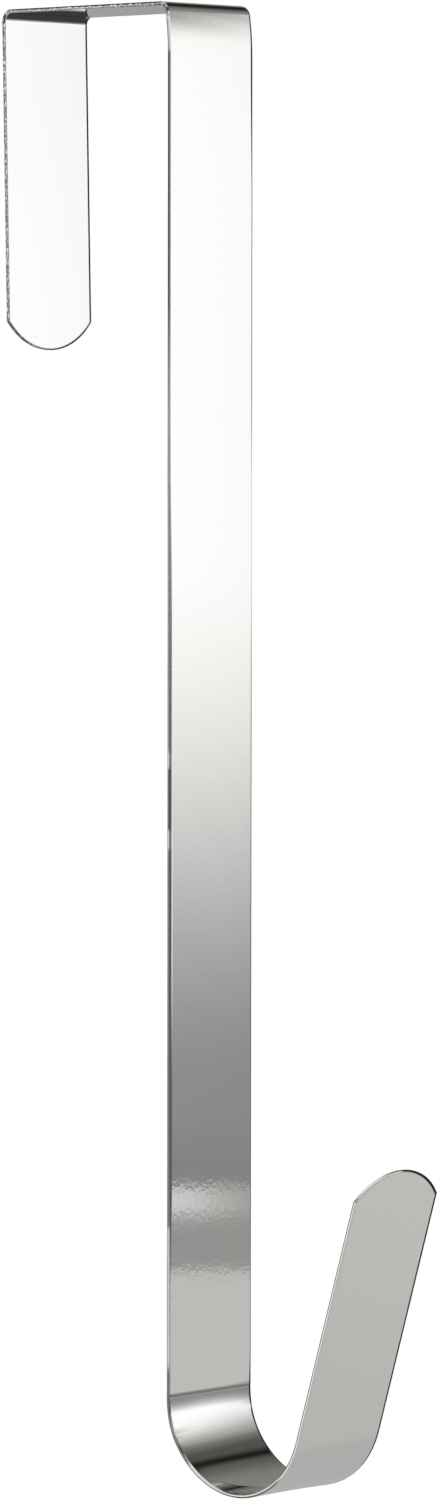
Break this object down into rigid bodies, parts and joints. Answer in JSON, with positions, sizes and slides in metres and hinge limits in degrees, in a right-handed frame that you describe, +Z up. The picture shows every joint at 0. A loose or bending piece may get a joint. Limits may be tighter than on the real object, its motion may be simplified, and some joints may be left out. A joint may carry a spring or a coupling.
{
  "type": "over door hook",
  "caption": "Flat bright-plated metal strip folded to hang over a door's top edge, with a short tongue behind, a long straight drop in front and a wide upturned hook at the bottom.",
  "frame": {"origin": "middle of the underside of the bridge, the face that sits on the door's top edge, at mid-width of the strip", "axes": "+X across the strip, to the right as seen from in front of the door; +Y from the front of the door to its back; +Z up"},
  "size_m": [0.025, 0.104, 0.3096],
  "materials": {
    "plated_steel": "bright plating over cold-rolled strip, mirror-like with a faint ripple"
  },
  "bodies": {
    "root": {"hook_strip": "plated_steel"}
  },
  "joints": []
}
